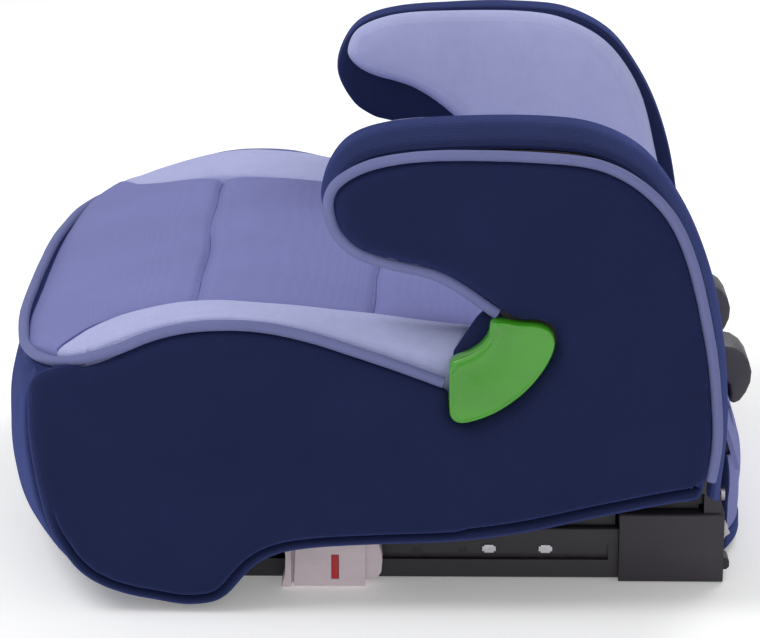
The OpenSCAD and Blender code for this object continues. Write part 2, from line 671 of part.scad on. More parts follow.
module hook_pin() {
    color([0.8, 0.8, 0.82]) {
        rod_x(rail_x - 8, rail_x + 8, hook_y, hook_z, 2.5);
        for (x = [rail_x - 8.4, rail_x + 6.1]) rod_x(x, x + 2.3, hook_y, hook_z, 3.6);
    }
}

// Plastic lower lip of the connector
module jaw_tip() {
    color([0.08, 0.08, 0.09]) slab([[194.3, 4], [194.3, 11.7], [196.5, 11.3], [199.6, 10.2], [200.5, 8.5],
        [200.5, 5.5], [198.8, 3.8]], rail_x - 6.5, rail_x + 6.5);
}

// Latch hook: closes behind the anchor bar, and turns up about its pin to let it go
module anchor_hook() {
    color([0.82, 0.82, 0.84]) difference() {
        union() {
            rod_x(rail_x - 2.8, rail_x + 2.8, hook_y, hook_z, 4.3);
            slab([[178.2, 24.5], [178.6, 33.6], [181.5, 33.6], [182, 30.2], [186, 30.2], [192, 30.4], [196.5, 28.6],
                [198.2, 25.2], [197.2, 18], [195.7, 12.2], [193.9, 12.4], [194.1, 20], [192.8, 23.6],
                [189.5, 24.6], [184.5, 23.6], [181, 22.3]], rail_x - 2.8, rail_x + 2.8);
        }
        rod_x(rail_x - 5, rail_x + 5, hook_y, hook_z, 2.56);
    }
}

module release_grip() {
    side = rail_x + rail_w / 2 + 0.4;
    top = 30;
    low = 1.6;
    color([0.78, 0.74, 0.78]) difference() {
        union() {
            slab([[grip_front + 6.5, low], [grip_front + 7.6, top], [grip_back - 9.5, top], [grip_back - 9.5, low]],
                side, grip_x);
            // flared flange at the front, and the lower tail at the rear
            slab([[grip_front - 0.5, low], [grip_front + 1.6, 9], [grip_front + 2, 20], [grip_front + 0.5, top + 1],
                [grip_front + 5, top + 1], [grip_front + 5.4, low]], side, grip_x + 1.5);
            slab([[grip_front + 4, low + 1], [grip_front + 4, top - 1], [grip_back - 3, top - 2],
                [grip_back - 0.6, top - 9], [grip_back, 16], [grip_back - 0.6, 9], [grip_back - 3, low + 3.5]],
                side, grip_x - 3);
            // tongue through the rail's slot to the block that clips on the release rod
            box([rail_x - 1, -42, slot_lo + 0.3], [side + 1, -14, slot_hi - 0.3]);
            box([rail_x - 4.5, -42, rod_z - 4.5], [rail_x + 4.5, -14, rod_z + 4.5]);
        }
        box([grip_x - 1.4, -25.2, 5.8], [grip_x + 3, -21, 20.2]);
        translate([rail_x, -60, rod_z]) rotate([-90, 0, 0]) cylinder(h = 60, r = rod_r + 0.05);
    }
}

module release_mark() {
    color([0.75, 0.1, 0.13]) box([grip_x - 1.35, -25.1, 5.9], [grip_x - 0.2, -21.1, 20.1]);
}

// Rod from the grip back to the hook: it pulls the hook's horn forward
module release_rod() {
    color([0.6, 0.6, 0.62]) {
        translate([rail_x, -41, rod_z]) rotate([-90, 0, 0]) cylinder(h = 209, r = rod_r);
        translate([rail_x, spring_back + 0.3, rod_z]) rotate([-90, 0, 0]) cylinder(h = 2.5, r = 5);
        slab([[167, rod_z - 2], [167, 36.8], [184.8, 36.8], [184.8, 31.8], [183.6, 31.8], [182.6, 33.4], [182.6, 34.6],
            [169.4, 34.6], [169.4, rod_z - 2]], rail_x - 2, rail_x + 2);
    }
}

module grip_spring() {
    turns = 6;
    per_turn = 10;
    wire_r = 0.7;
    coil_r = 3.6;
    span = spring_back - spring_front - 2 * wire_r;
    path = [for (i = [0 : turns * per_turn]) let (a = 360 * i / per_turn)
        [rail_x + coil_r * cos(a), spring_front + wire_r + span * i / (turns * per_turn), rod_z + coil_r * sin(a)]];
    color([0.8, 0.8, 0.82]) loft(tube_sections(path, wire_r, 6, [0, 1, 0]));
}

// ---------- Small fittings ----------

module front_feet() {
    color([0.1, 0.1, 0.1]) both_sides() {
        difference() {
            box([157, -118, 0], [190, -106, 9.1]);
            box([161, -120, -1], [186, -116, 3]);
        }
    }
}

module backrest_hook() {
    color([0.13, 0.12, 0.14]) slab(hook_outline, hook_xs - hook_w / 2, hook_xs + hook_w / 2);
}

// ---------- Nodes ----------

module pair(name, side) {
    mirror([side == "right" ? 1 : 0, 0, 0]) {
        if (name == "bolster") bolster();
        if (name == "arm_frame") arm_frame();
        if (name == "arm_core") arm_core();
        if (name == "arm_gusset") arm_gusset();
        if (name == "arm_lining") arm_lining();
        if (name == "arm_piping") arm_piping();
        if (name == "side_panel") side_panel();
        if (name == "belt_guide") belt_guide();
        if (name == "guide_screws") guide_screws();
        if (name == "arm_screws") arm_screws();
        if (name == "anchor_rail") anchor_rail();
        if (name == "rail_rivets") rail_rivets();
        if (name == "rear_housing") rear_housing();
        if (name == "rail_screws") rail_screws();
        if (name == "anchor_arm") anchor_arm();
        if (name == "anchor_jaws") anchor_jaws();
        if (name == "hook_pin") hook_pin();
        if (name == "jaw_tip") jaw_tip();
        if (name == "grip_spring") grip_spring();
        if (name == "anchor_hook") anchor_hook();
        if (name == "release_grip") release_grip();
        if (name == "release_rod") release_rod();
        if (name == "release_mark") release_mark();
        if (name == "backrest_hook") backrest_hook();
    }
}

paired = ["bolster", "arm_frame", "arm_core", "arm_gusset", "arm_lining", "arm_piping", "side_panel",
    "belt_guide", "guide_screws", "arm_screws", "anchor_rail", "rail_rivets", "rear_housing", "rail_screws", "anchor_arm",
    "anchor_jaws", "hook_pin", "jaw_tip", "grip_spring", "anchor_hook", "release_grip", "release_rod",
    "release_mark", "backrest_hook"];

seat_shell();
seat_foam();
centre_panel();
front_pad();
rear_flap();
seat_piping();
cross_tube();
front_feet();
for (name = paired, side = ["left", "right"])
    pair(name, side);
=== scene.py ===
"""Looks of a padded booster seat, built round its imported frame.

Lengths inside the shape functions are millimetres, in the frame's own axes: the child faces -Y, +X is the
child's left and +Z is up. piece() turns them into metres.
"""

import math

import bmesh
import bpy
import numpy as np
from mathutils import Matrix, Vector, noise
from mathutils.geometry import delaunay_2d_cdt


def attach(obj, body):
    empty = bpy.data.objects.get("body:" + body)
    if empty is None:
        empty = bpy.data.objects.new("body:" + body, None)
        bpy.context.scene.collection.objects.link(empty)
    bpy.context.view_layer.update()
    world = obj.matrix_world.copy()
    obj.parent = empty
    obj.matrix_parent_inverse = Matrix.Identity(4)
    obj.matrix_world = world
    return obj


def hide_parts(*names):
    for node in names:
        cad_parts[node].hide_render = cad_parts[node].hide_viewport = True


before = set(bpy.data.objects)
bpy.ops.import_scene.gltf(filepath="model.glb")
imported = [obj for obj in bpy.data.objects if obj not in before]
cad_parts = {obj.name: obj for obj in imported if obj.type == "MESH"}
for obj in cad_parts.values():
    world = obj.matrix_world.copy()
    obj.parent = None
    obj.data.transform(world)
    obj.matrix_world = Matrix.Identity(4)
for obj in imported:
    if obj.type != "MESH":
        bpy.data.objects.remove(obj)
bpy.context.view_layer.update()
scene = bpy.context.scene

MM = 0.001
SIDES = {"left": 1, "right": -1}

# The seat: half its width, the seam between middle cover and bolster, and the planes of the side cover, of
# the armrest's frame behind it and of the armrest's inner face
HALF_W = 210
SEAM_X = 148
PANEL_X = 201
FRAME_X = 200.5
RIM_X = 157.5
# Piping cord
CORD_R = 3
CORD_X = 203.9
# Thickness of the middle cover, and how far the shell's deck is below the seat
PAD_T = 10
DECK_DROP = 28
QUILT_YS = (-102, -1, 100)
# Hem along the lower edge of the side cover, and where its cloth overlaps itself
HEM_WIDTH = 6.5
STEP_Y = 48
# Fullness of the front cover in the middle, and half its width
FRONT_BULGE = 31
FRONT_HALF = FRAME_X - 0.5
# Rear flap: half its width above and below the notches in its lower corners, slots for the backrest hooks
FLAP_HALF = 148
FLAP_LOW_HALF = 117
FLAP_NOTCH_Z = 64
FLAP_BOTTOM_Z = 6.5
FLAP_TOP_Z = 131
SLOT_X = (48, 86)
SLOT_Z = (69, 120)
# Binding round the flap's lower part
BINDING_IN = FLAP_LOW_HALF - 2
BINDING_OUT = FLAP_LOW_HALF + 1.2
BINDING_LOW = 4.8
BINDING_TOP = 16

# ---------- Curves, as in the frame ----------

# Curves are (y, z) pairs in the side plane, save for those seen from above: BOLSTER_PLAN is (y, x), while
# CORNER_SEAM and CORD_FRONT are (x, y). BULGE_SHARE is the front cover's fullness by height.

ARM_OUTLINE = [(62, 98), (62, 136), (60, 164), (43, 183.5), (20, 193), (-5, 199), (-20, 210), (-29, 231),
               (-20, 254), (0, 265.5), (40, 270), (90, 270.4), (122, 265.5), (148, 250), (169, 220),
               (182, 187), (189.5, 152), (193.5, 110), (192, 78)]
LINING_OUTLINE = [(64, 176), (46, 198), (20, 217), (-8, 226), (-21, 235), (-24, 245), (-16, 259), (8, 268),
                  (45, 270.5), (92, 270), (120, 264), (146, 248), (166, 218), (177, 178), (182, 150),
                  (181, 125), (150, 112), (90, 116), (68, 128), (64, 150)]
ARM_SEAM = [(64, 168.6), (55, 175), (43, 183.5), (29, 190.5), (8, 195.4), (-9, 201), (-18, 207.5),
            (-25, 217), (-28, 230), (-26, 240), (-19, 248), (-3, 256), (22, 260.5), (54, 261.4), (92, 260),
            (119.5, 256.4), (141, 246), (158, 230), (168.5, 211.5), (176, 189), (182, 163), (186, 140),
            (189, 107), (188, 88), (186, 76)]
SEAT_SEAM = [(-184.5, 137.5), (-172, 143.4), (-160, 145.9), (-150, 148.6), (-137.5, 154), (-118, 161.7),
             (-95, 166.4), (-65, 166.4), (-36, 160.8), (-9, 151.8), (14, 143.8), (31, 137.2)]
HEM_LINE = [(182, 61), (149, 54.4), (116, 47.3), (83, 39.8), (48, 34.8), (13.5, 33), (-10, 32), (-31, 30.6),
            (-50, 27.5), (-62, 21.5), (-70, 13), (-77.5, 4.5), (-88, -1.4), (-105, -3.1), (-122, -0.4),
            (-139, 3), (-154, 8.6), (-166, 16.5), (-175, 27), (-184, 43), (-188.8, 59), (-192.3, 77),
            (-194.8, 96), (-195.3, 113), (-192.8, 126)]
GUIDE_NOTCH = [(45.8, 131.2), (45.6, 119.6), (46.8, 117), (50.2, 116.6), (62.8, 121.8), (74, 129.4),
               (82.3, 138.4), (88.7, 148), (91.6, 155), (90.8, 159.8), (87, 161.8), (76, 162.4)]
SIDE_CORNER = [(-189.0, 118), (-188.8, 124), (-187.6, 130.4), (-184, 135.2), (-177.5, 138.6), (-169, 140.8)]
SEAT_LINE = [(-201, 134), (-190, 141.5), (-175, 147.5), (-155, 153.5), (-134, 158.5), (-115, 161.5),
             (-96, 162.5), (-75, 162), (-41, 159.5), (2, 154.5), (53, 147), (110, 139.5), (160, 135),
             (186, 132)]
BOLSTER_CREST = [(-174, 147.6), (-165, 150.2), (-157, 152.8), (-149, 156), (-130.5, 162), (-112, 166.5),
                 (-93, 168.5), (-72, 168), (-39, 165), (2, 160.5), (30, 157.5), (56, 155)]
BOLSTER_OUTER = [(-174, 140.6), (-165, 142.8), (-149, 149.5), (-130, 158), (-112, 163.5), (-93, 166),
                 (-65, 166), (-37, 161), (-10, 152), (13, 144), (39, 134), (56, 129)]
BOLSTER_PLAN = [(-174, 191.4), (-169, 194.4), (-165, 196.6), (-153, 199.8), (-138, 200.8), (60, FRAME_X)]
CORNER_SEAM = [(148.6, -90), (149.2, -112), (152.5, -136), (156.5, -146), (165, -158), (174.5, -164),
               (184, -169.2), (190, -172.6)]
FRONT_LINE = [(-184, 132), (-188, 122), (-189, 110), (-188.5, 94), (-186, 77), (-182, 60), (-176, 45),
              (-168, 32), (-157, 21), (-144, 13), (-128, 8)]
BULGE_SHARE = [(8, 1), (13, 1.45), (25, 1.6), (50, 1.32), (72, 1.12), (91, 0.97), (106, 0.82), (132, 0.62)]
SHELL_FRONT = [(-180, 103), (-181.5, 90), (-180, 75), (-176, 58), (-170, 44), (-161, 33), (-150, 24),
               (-136, 17), (-120, 12)]
GUIDE_OUTLINE = [(63.5, 168.6), (76, 167), (88, 166.2), (95, 162.5), (96.5, 155), (93, 145.5), (86, 135),
                 (77, 125.8), (65, 117.5), (53, 112.7), (45, 111.8), (40.8, 115.5), (40, 123), (40, 134),
                 (40.4, 144), (43.5, 147.6), (50.5, 150.3), (57, 155), (61, 161)]
CORD_FRONT = [(0, -205.5), (75, -204.5), (120, -200.5), (150, -196), (172, -188.5), (188, -179), (196, -170)]
CORD_SIDE = [(37, 132.2), (12, 141.6), (-10, 149.3), (-37, 158), (-65, 163.5), (-95, 163.5), (-119, 158.7),
             (-138, 151)]
FLAP_LINE = [(191.2, 131.5), (193.6, 126), (194.4, 112), (197, 95), (203, 78), (208, 60), (209.5, 44),
             (208, 28), (205.5, 14), (204.5, 6)]
# Across the armrest's strip: place along X, and depth below the armrest's outline
STRIP_SECTION = [(FRAME_X, 7.6), (FRAME_X - 2.2, 5.9), (FRAME_X - 5, 4.4), (FRAME_X - 12, 2.0),
                 (RIM_X + 22, -0.4), (RIM_X + 10, -0.6), (RIM_X + 3, -0.3), (RIM_X + 0.2, 0.9),
                 (RIM_X - 0.9, 3.4)]
# End of the armrest's strip behind the belt guide
TAB_OUTLINE = [(40.5, 137), (40.5, 144), (45, 151.5), (50.5, 160), (56.5, 168.5), (66, 174), (78, 168),
               (72, 150), (56, 134)]


# ---------- Curve tools ----------


def spline(points, steps, closed=False):
    """Catmull-Rom curve through the points."""
    p = np.array(points, float)
    n = len(p)
    out = []
    for i in range(n if closed else n - 1):
        if closed:
            a, b, c, d = p[i - 1], p[i], p[(i + 1) % n], p[(i + 2) % n]
        else:
            a, b, c, d = p[max(i - 1, 0)], p[i], p[i + 1], p[min(i + 2, n - 1)]
        for t in np.arange(steps) / steps:
            out.append(0.5 * (2 * b + (c - a) * t + (2 * a - 5 * b + 4 * c - d) * t**2
                              + (3 * b - a - 3 * c + d) * t**3))
    if not closed:
        out.append(p[-1])
    return np.array(out)


def spaced(points, gap, closed=False):
    """The same line with points about gap apart."""
    p = np.array(points, float)
    if closed:
        p = np.vstack([p, p[:1]])
    along = np.concatenate([[0], np.cumsum(np.linalg.norm(np.diff(p, axis=0), axis=1))])
    n = max(2, round(along[-1] / gap))
    at = np.linspace(0, along[-1], n + 1)
    out = np.column_stack([np.interp(at, along, p[:, k]) for k in range(p.shape[1])])
    return out[:-1] if closed else out


def mitres(points, closed=True):
    """For each point, the direction to the right that keeps both of its steps parallel."""
    p = np.array(points, float)
    step = np.roll(p, -1, 0) - p
    right = np.column_stack([step[:, 1], -step[:, 0]]) / np.linalg.norm(step, axis=1)[:, None]
    before = np.roll(right, 1, 0)
    if not closed:
        before[0], right[-1] = right[0], before[-1]
    return (before + right) / (1 + np.sum(before * right, axis=1))[:, None]


def moved(points, distance, closed=True):
    return np.array(points, float) + distance * mitres(points, closed)


def curve(points, steps=10):
    """A function that gives the smooth curve's second coordinate at the first."""
    line = spline(points, steps)
    order = np.argsort(line[:, 0])
    return lambda x: np.interp(x, line[order, 0], line[order, 1])


def distance_to(points, line, closed=True):
    a = np.array(line, float)
    b = np.roll(a, -1, 0)
    if not closed:
        a, b = a[:-1], b[:-1]
    d = b - a
    length2 = np.maximum((d**2).sum(1), 1e-9)
    out = []
    for chunk in np.array_split(points, max(1, len(points) // 1500)):
        t = ((chunk[:, None] - a) * d).sum(2) / length2
        near = a + np.clip(t, 0, 1)[..., None] * d
        out.append(np.sqrt(((chunk[:, None] - near) ** 2).sum(2)).min(1))
    return np.concatenate(out)


def inside(points, outline):
    a = np.array(outline, float)
    b = np.roll(a, -1, 0)
    x, y = points[:, :1], points[:, 1:]
    spans = (a[:, 1] > y) != (b[:, 1] > y)
    rise = np.where(a[:, 1] == b[:, 1], 1e-9, b[:, 1] - a[:, 1])
    cross = a[:, 0] + (y - a[:, 1]) * (b[:, 0] - a[:, 0]) / rise
    return (spans & (x < cross)).sum(1) % 2 == 1


def ripple(points, size, seed=0):
    """Smooth noise between about -1 and 1 with bumps of that size in mm, one value for each point. For points
    in a plane, the seed picks the pattern."""
    return np.array([noise.noise([*(p / size), seed][:3]) for p in points])


# ---------- Mesh tools ----------


def grid_faces(rows, cols, loop=False):
    faces = []
    for i in range(rows - 1):
        for j in range(cols if loop else cols - 1):
            k = (j + 1) % cols
            faces.append((i * cols + j, i * cols + k, (i + 1) * cols + k, (i + 1) * cols + j))
    return faces


def loft(sections):
    """Closed solid through sections of the same number of points."""
    s = np.array(sections, float)
    rows, cols = s.shape[:2]
    faces = grid_faces(rows, cols, loop=True)
    faces.append(tuple(range(cols)))
    faces.append(tuple((rows - 1) * cols + j for j in reversed(range(cols))))
    return s.reshape(-1, 3), faces


def triangles(points, rim):
    """Triangles over the points, inside the closed rim, which is the first of them. Gives the points, the
    triangles, and where the rim's own points are now."""
    edges = [(i, (i + 1) % rim) for i in range(rim)]
    got = delaunay_2d_cdt([Vector(p) for p in points], edges, [], 0, 1e-5, True)
    flat, faces = np.array([tuple(v) for v in got[0]]), np.array([tuple(f) for f in got[2]])
    within = inside(flat[faces].mean(1), np.array(points[:rim]))
    now = {old: new for new, olds in enumerate(got[3]) for old in olds}
    return flat, [tuple(int(i) for i in f) for f in faces[within]], [now[i] for i in range(rim)]


def panel(outline, base, sign, height, gap=4.0, rings=(0.5, 1.1, 1.9, 3.0, 4.4, 6.2, 8.6, 11.6), lines=()):
    """Padded panel in the side plane. height(points, distance from the edge) is how far it stands out of the
    plane X = base, along +X or -X. The mesh is fine beside its edge and beside the sewn lines."""
    rim = spaced(outline, 2.2, closed=True)
    clockwise = np.sum(rim[:, 0] * np.roll(rim[:, 1], -1) - np.roll(rim[:, 0], -1) * rim[:, 1]) < 0
    inward = mitres(rim) * (1 if clockwise else -1)
    parts = [rim]
    for d in rings:
        ring = rim + d * inward
        ring = ring[inside(ring, rim)]
        parts.append(ring[distance_to(ring, rim) > 0.93 * d])
    low, high = rim.min(0), rim.max(0)
    ys, zs = np.meshgrid(np.arange(low[0], high[0], gap), np.arange(low[1], high[1], gap))
    ys[1::2] += gap / 2
    field = np.column_stack([ys.ravel(), zs.ravel()])
    field = field[inside(field, rim)]
    field = field[distance_to(field, rim) > rings[-1] + 0.5 * gap]
    for line in lines:
        for offset in (-4.5, -2.8, -1.4, 0, 1.4, 2.8, 4.5):
            row = spaced(moved(line, offset, closed=False), 2.6)
            row = row[inside(row, rim)]
            parts.append(row[distance_to(row, rim) > rings[-1] + 0.8])
        field = field[distance_to(field, line, closed=False) > 5.8]
    parts.append(field)
    flat, faces, loop = triangles(np.vstack(parts), len(rim))
    back, back_faces, under = triangles(rim, len(rim))
    out = height(flat, distance_to(flat, rim))
    n = len(flat)
    verts = np.vstack([np.column_stack([base + sign * out, flat]),
                       np.column_stack([np.full(len(back), base), back])])
    faces += [tuple(n + i for i in reversed(f)) for f in back_faces]
    for k in range(len(loop)):
        m = (k + 1) % len(loop)
        faces.append((loop[m], loop[k], n + under[k], n + under[m]))
    return verts, faces


def tube(path, radius, sides=12, up=(0, 0, 1)):
    """Round cord along a path. radius is one value or one for each point."""
    p = np.array(path, float)
    r = np.broadcast_to(radius, len(p))
    t = np.gradient(p, axis=0)
    t /= np.linalg.norm(t, axis=1)[:, None]
    a = np.cross(t, np.broadcast_to(up, p.shape))
    a /= np.linalg.norm(a, axis=1)[:, None]
    b = np.cross(a, t)
    turn = 2 * np.pi * np.arange(sides) / sides
    rings = p[:, None] + r[:, None, None] * (np.cos(turn)[None, :, None] * a[:, None]
                                             + np.sin(turn)[None, :, None] * b[:, None])
    return loft(rings)


def stitches(path, normal, length=3.2, pitch=4.6, radius=0.38):
    """Row of thread stitches along a path, each one arched and sunk at its ends."""
    p = spaced(path, 0.2)
    n = np.broadcast_to(np.array(normal, float), p.shape)
    verts, faces = [], []
    along = np.arange(len(p)) * 0.2
    for start in np.arange(pitch / 2, along[-1] - length, pitch):
        at = start + length * np.array([0, 0.16, 0.5, 0.84, 1])
        mid = np.column_stack([np.interp(at, along, p[:, k]) for k in range(3)])
        mid += n[0] * (np.array([-0.35, 0.1, 0.22, 0.1, -0.35])[:, None])
        v, f = tube(mid, radius * np.array([0.45, 0.9, 1, 0.9, 0.45]), 6, n[0])
        faces += [tuple(i + len(verts) for i in q) for q in f]
        verts += list(v)
    return np.array(verts), faces


def thick_cells(xs, zs, outer, inner, keep):
    """Solid plate of the cells that keep says, between the surfaces y = outer(x, z) and y = inner(x, z)."""
    index, verts, faces = {}, [], []

    def corner(i, j, layer):
        key = (i, j, layer)
        if key not in index:
            index[key] = len(verts)
            x, z = xs[i], zs[j]
            verts.append((x, (outer if layer else inner)(x, z), z))
        return index[key]

    on = {(i, j) for i in range(len(xs) - 1) for j in range(len(zs) - 1)
          if keep((xs[i] + xs[i + 1]) / 2, (zs[j] + zs[j + 1]) / 2)}
    for i, j in on:
        ring = [(i, j), (i + 1, j), (i + 1, j + 1), (i, j + 1)]
        faces.append(tuple(corner(a, b, 1) for a, b in reversed(ring)))
        faces.append(tuple(corner(a, b, 0) for a, b in ring))
        for k, other in enumerate([(i, j - 1), (i + 1, j), (i, j + 1), (i - 1, j)]):
            if other not in on:
                a, b = ring[k], ring[(k + 1) % 4]
                faces.append((corner(*b, 0), corner(*a, 0), corner(*a, 1), corner(*b, 1)))
    return np.array(verts), faces


# ---------- Materials ----------


class Surface:
    """A material being built: its shader, the object's own coordinates in metres, and its nodes."""

    def __init__(self, name, roughness, **sockets):
        self.material = bpy.data.materials.new(name)
        self.material.use_nodes = True
        self.tree = self.material.node_tree
        self.shader = self.tree.nodes["Principled BSDF"]
        self.shader.inputs["Roughness"].default_value = roughness
        for socket, value in sockets.items():
            self.shader.inputs[socket.replace("_", " ")].default_value = value
        self.point = self.add("ShaderNodeTexCoord").outputs["Object"]

    def add(self, kind, **inputs):
        node = self.tree.nodes.new(kind)
        for name, value in inputs.items():
            self.put(node.inputs[name.replace("_", " ")], value)
        return node

    def put(self, socket, value):
        if isinstance(value, bpy.types.NodeSocket):
            self.tree.links.new(value, socket)
        else:
            socket.default_value = value

    def stretched(self, scale):
        node = self.add("ShaderNodeMapping", Vector=self.point)
        node.inputs["Scale"].default_value = scale
        return node.outputs["Vector"]

    def noise(self, scale, detail=2.0, roughness=0.5, at=None):
        node = self.add("ShaderNodeTexNoise", Vector=at or self.point, Scale=scale, Detail=detail)
        node.inputs["Roughness"].default_value = roughness
        return node.outputs["Fac"]

    def wave(self, axis, period_mm, distortion=0.0, detail_scale=1.0):
        node = self.add("ShaderNodeTexWave", Vector=self.point, Scale=0.314 / (period_mm * MM),
                        Distortion=distortion, Detail=1.0)
        node.inputs["Detail Scale"].default_value = detail_scale
        node.bands_direction = axis
        return node.outputs["Fac"]

    def math(self, how, a, b=0.0, clamp=False):
        node = self.add("ShaderNodeMath")
        node.operation = how
        node.use_clamp = clamp
        self.put(node.inputs[0], a)
        self.put(node.inputs[1], b)
        return node.outputs[0]

    def span(self, value, low, high, to_low=0.0, to_high=1.0):
        node = self.add("ShaderNodeMapRange", Value=value)
        for name, number in (("From Min", low), ("From Max", high), ("To Min", to_low), ("To Max", to_high)):
            node.inputs[name].default_value = number
        return node.outputs["Result"]

    def mix(self, share, a, b, how="MIX"):
        node = self.add("ShaderNodeMix")
        node.data_type = "RGBA"
        node.blend_type = how
        self.put(node.inputs[0], share)
        self.put(node.inputs[6], a)
        self.put(node.inputs[7], b)
        return node.outputs[2]

    def bump(self, height, strength, depth_mm, after=None):
        node = self.add("ShaderNodeBump", Height=height, Strength=strength, Distance=depth_mm * MM)
        if after is not None:
            self.put(node.inputs["Normal"], after)
        return node.outputs["Normal"]

    def finish(self, **links):
        for name, value in links.items():
            self.put(self.shader.inputs[name.replace("_", " ")], value)
        return self.material


def linear(r, g, b):
    """Colour from 0-255 screen values."""
    def one(c):
        c /= 255
        return c / 12.92 if c <= 0.04045 else ((c + 0.055) / 1.055) ** 2.4
    return (one(r), one(g), one(b), 1.0)


def shade(colour, factor):
    return (*(min(1.0, c * factor) for c in colour[:3]), 1.0)


def fabric(name, colour, sheen, thread_mm=0.9, fleck=0.5, patch=0.10, depth=0.16, painted_pile_sheen=0.0):
    """Fine knit: crossing threads, loose fibres, light flecks, patches of slightly different tone, and
    lighter clouds that are partly random tone and, by the pile share, painted sheen.
    """
    s = Surface(name, 0.88, Sheen_Weight=sheen, Sheen_Roughness=0.45, Specular_IOR_Level=0.08)
    s.shader.inputs["Sheen Tint"].default_value = shade(colour, 0.75 / max(colour[:3]))
    loops = s.math("ADD", s.math("ADD", s.wave("X", thread_mm, 1.2, 2), s.wave("Y", thread_mm, 1.2, 2)),
                   s.wave("Z", thread_mm * 0.8, 1.2, 2))
    fibres = s.noise(2600, 3, 0.6)
    patches = s.noise(14, 3, 0.55)
    tone_and_sheen_clouds = s.noise(95, 3, 0.6)
    tone = s.mix(s.span(patches, 0.3, 0.7), shade(colour, 1 - patch), shade(colour, 1 + patch))
    # lighter clouds: random tone, raised by the pile share into painted sheen standing for the velour's noisy
    # highlights
    tone = s.mix(s.span(tone_and_sheen_clouds, 0.35, 0.7, 0, 0.5 * patch + painted_pile_sheen), tone, shade(colour, 1.5))
    tone = s.mix(s.span(fibres, 0.35, 0.75, 0, 0.35), tone, shade(colour, 0.72))
    tone = s.mix(s.span(loops, 0.6, 2.2, 0, 0.22), tone, shade(colour, 1.25))
    specks = s.noise(950, 1, 0.4)
    tone = s.mix(s.span(specks, 0.72, 0.80, 0, fleck), tone, shade(colour, 2.4))
    normal = s.bump(loops, 0.55, depth)
    normal = s.bump(fibres, 0.45, 0.14, normal)
    normal = s.bump(tone_and_sheen_clouds, 0.35, 0.35, normal)
    return s.finish(Base_Color=tone, Normal=normal, Roughness=s.span(fibres, 0.3, 0.7, 0.8, 0.97))


def plastic(name, colour, roughness, grain_mm=0.5, grain=0.25, coat=0.0):
    """Moulded plastic with a fine spark-eroded grain, faint flow marks and a little handling wear."""
    s = Surface(name, roughness, Coat_Weight=coat, Coat_Roughness=0.06)
    grains = s.noise(1 / (grain_mm * MM), 2, 0.5)
    flow = s.noise(22, 4, 0.6, s.stretched((1, 0.35, 2.2)))
    rubbed = s.noise(60, 6, 0.7)
    tone = s.mix(s.span(flow, 0.3, 0.7), shade(colour, 0.9), shade(colour, 1.1))
    tone = s.mix(s.span(rubbed, 0.55, 0.8, 0, 0.18), tone, shade(colour, 1.5))
    rough = s.math("ADD", s.span(rubbed, 0.3, 0.75, roughness - 0.06, roughness + 0.08),
                   s.span(grains, 0.3, 0.7, -0.03, 0.03))
    normal = s.bump(grains, grain, 0.06)
    normal = s.bump(flow, 0.15, 0.3, normal)
    return s.finish(Base_Color=tone, Roughness=rough, Normal=normal)


def steel(name, colour, roughness):
    """Zinc-plated steel, brushed along the connector."""
    s = Surface(name, roughness, Metallic=1.0)
    brushed = s.noise(900, 3, 0.6, s.stretched((1, 0.04, 1)))
    spangle = s.noise(160, 3, 0.5)
    tone = s.mix(s.span(spangle, 0.3, 0.7), shade(colour, 0.86), shade(colour, 1.12))
    rough = s.math("ADD", s.span(spangle, 0.3, 0.7, roughness - 0.05, roughness + 0.07),
                   s.span(brushed, 0.3, 0.7, -0.05, 0.05))
    return s.finish(Base_Color=tone, Roughness=rough, Normal=s.bump(brushed, 0.25, 0.05))


def foam(name, colour):
    s = Surface(name, 0.95)
    cells = s.add("ShaderNodeTexVoronoi", Vector=s.point, Scale=420).outputs["Distance"]
    soft = s.noise(30, 3)
    tone = s.mix(s.span(cells, 0.1, 0.6), shade(colour, 1.05), shade(colour, 0.8))
    tone = s.mix(s.span(soft, 0.3, 0.7, 0, 0.3), tone, shade(colour, 0.85))
    return s.finish(Base_Color=tone, Normal=s.bump(cells, 0.7, 0.5))


NAVY = linear(29, 36, 70)
LILAC = linear(124, 127, 180)
PALE = linear(176, 180, 222)
PIPING = linear(114, 119, 165)
MATERIALS = {
    "navy_fabric": fabric("navy_knit", NAVY, 0.50, fleck=0.30),
    "lilac_fabric": fabric("lilac_knit", LILAC, 0.08, fleck=0.10, patch=0.05),
    # the pale lilac's pile share paints sheen as lighter clouds
    "pale_lilac_fabric": fabric("pale_lilac_knit", PALE, 0.16, fleck=0.06, patch=0.06, painted_pile_sheen=0.10),
    "piping_fabric": fabric("piping_knit", PIPING, 0.08, 0.7, fleck=0.08, patch=0.06),
    "foam": foam("cream_foam", linear(225, 222, 205)),
    "black_plastic": plastic("black_moulding", linear(44, 41, 47), 0.5),
    "green_plastic": plastic("green_gloss", linear(62, 148, 26), 0.30, grain=0.04, coat=0.45),
    "grey_plastic": plastic("dark_grey_moulding", linear(45, 40, 50), 0.5),
    # lighter copy of the grey moulding: painted light on the backrest hooks, which are the same grey plastic
    # as the housing
    "hook_plastic_painted_light": plastic("hook_moulding_painted_light", linear(60, 57, 66), 0.5),
    "light_plastic": plastic("light_grey_moulding", linear(218, 204, 210), 0.45),
    "red_plastic": plastic("red_mark", linear(190, 30, 40), 0.35),
    "rubber": plastic("rubber", linear(38, 38, 40), 0.8, 0.8, 0.4),
    "steel": steel("zinc_steel", linear(178, 176, 182), 0.36),
    # darker copy of the zinc steel for the anchor arm: painted shade of the rail's slot that it sits in
    "steel_painted_slot_shade": steel("steel_painted_slot_shade", linear(70, 66, 72), 0.45),
    "bright_steel": steel("bright_steel", linear(206, 204, 210), 0.24),
}
